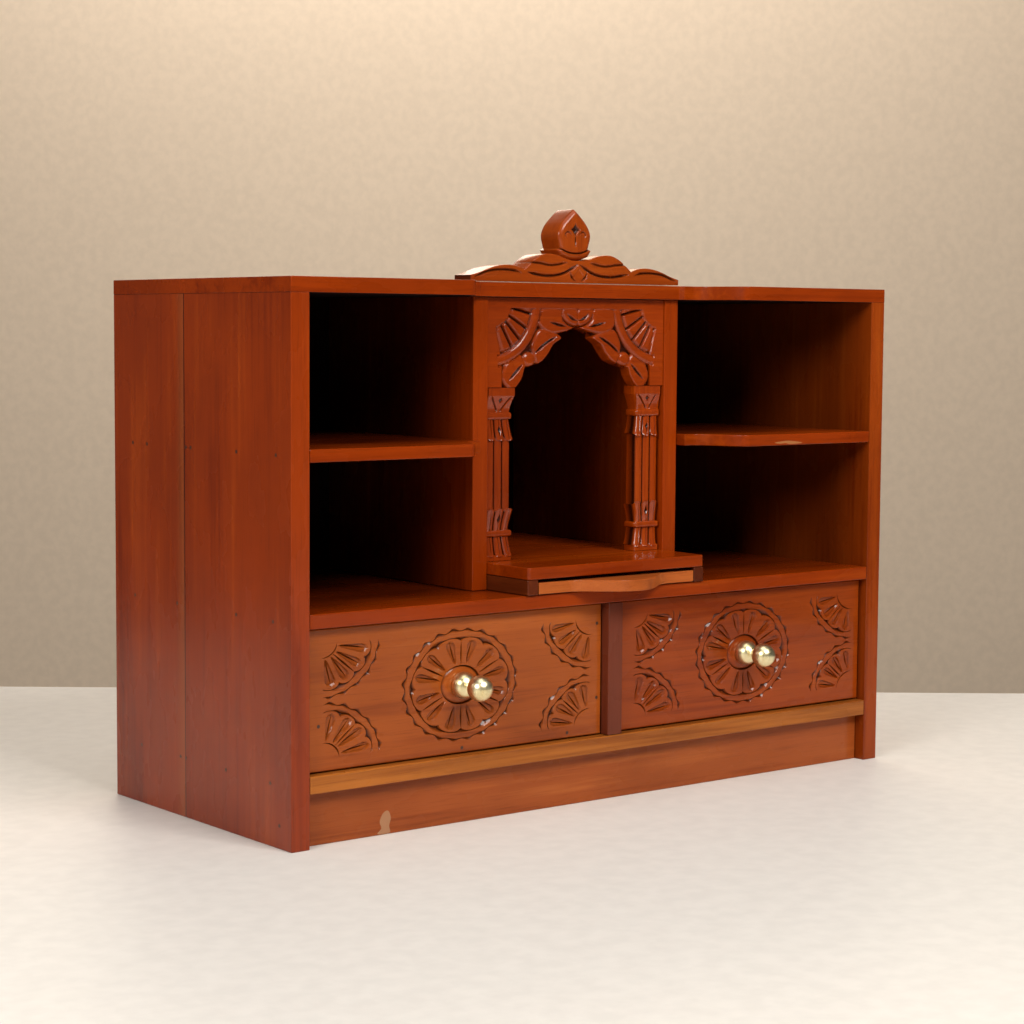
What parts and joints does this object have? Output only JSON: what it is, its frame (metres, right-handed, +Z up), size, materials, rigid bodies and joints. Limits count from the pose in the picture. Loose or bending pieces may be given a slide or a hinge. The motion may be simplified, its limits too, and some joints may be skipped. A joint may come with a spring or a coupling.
{
  "type": "household altar cabinet",
  "caption": "Carved, varnished hardwood table cabinet with an arched shrine niche, open bays, a pull-out tray and carved drawers with brass knobs.",
  "frame": {"origin": "on the floor, in the middle of the whole object's width and depth, knobs and tray front included", "axes": "+Z up, -Y the way the niche and the drawers face, +X to the right of someone facing the front"},
  "size_m": [0.6054, 0.284, 0.4672],
  "materials": {
    "varnished_wood": "glossy honey-red varnish over straight-grained hardwood, darker in the carving",
    "pale_varnished_wood": "glossy golden varnish over paler hardwood",
    "polished_brass": "polished, lightly brushed round the axis"
  },
  "bodies": {
    "cabinet": {"altar_platform": "varnished_wood", "arch_panel": "varnished_wood", "back_panel": "varnished_wood", "bottom_board": "pale_varnished_wood", "crest": "varnished_wood", "drawer_partition": "varnished_wood", "finial": "varnished_wood", "kick_board": "varnished_wood", "left_column": "varnished_wood", "left_divider": "varnished_wood", "left_runner": "varnished_wood", "left_shelf": "varnished_wood", "left_side_panel": "varnished_wood", "mid_board": "varnished_wood", "right_column": "varnished_wood", "right_divider": "varnished_wood", "right_runner": "varnished_wood", "right_shelf": "varnished_wood", "right_side_panel": "varnished_wood", "top_board": "varnished_wood"},
    "tray": {"pull_out_tray": "varnished_wood"},
    "left_drawer": {"left_drawer_back": "varnished_wood", "left_drawer_bottom": "pale_varnished_wood", "left_drawer_front": "varnished_wood", "left_drawer_knob": "polished_brass", "left_drawer_left_side": "varnished_wood", "left_drawer_right_side": "varnished_wood"},
    "right_drawer": {"right_drawer_back": "varnished_wood", "right_drawer_bottom": "pale_varnished_wood", "right_drawer_front": "varnished_wood", "right_drawer_knob": "polished_brass", "right_drawer_left_side": "varnished_wood", "right_drawer_right_side": "varnished_wood"}
  },
  "joints": [
    {"name": "left_drawer_slide", "type": "slide", "parent": "cabinet", "child": "left_drawer", "axis": [0, -1, 0], "range_m": [0, 0.18]},
    {"name": "right_drawer_slide", "type": "slide", "parent": "cabinet", "child": "right_drawer", "axis": [0, -1, 0], "range_m": [0, 0.18]},
    {"name": "tray_slide", "type": "slide", "parent": "cabinet", "child": "tray", "axis": [0, -1, 0], "range_m": [0, 0.13]}
  ]
}
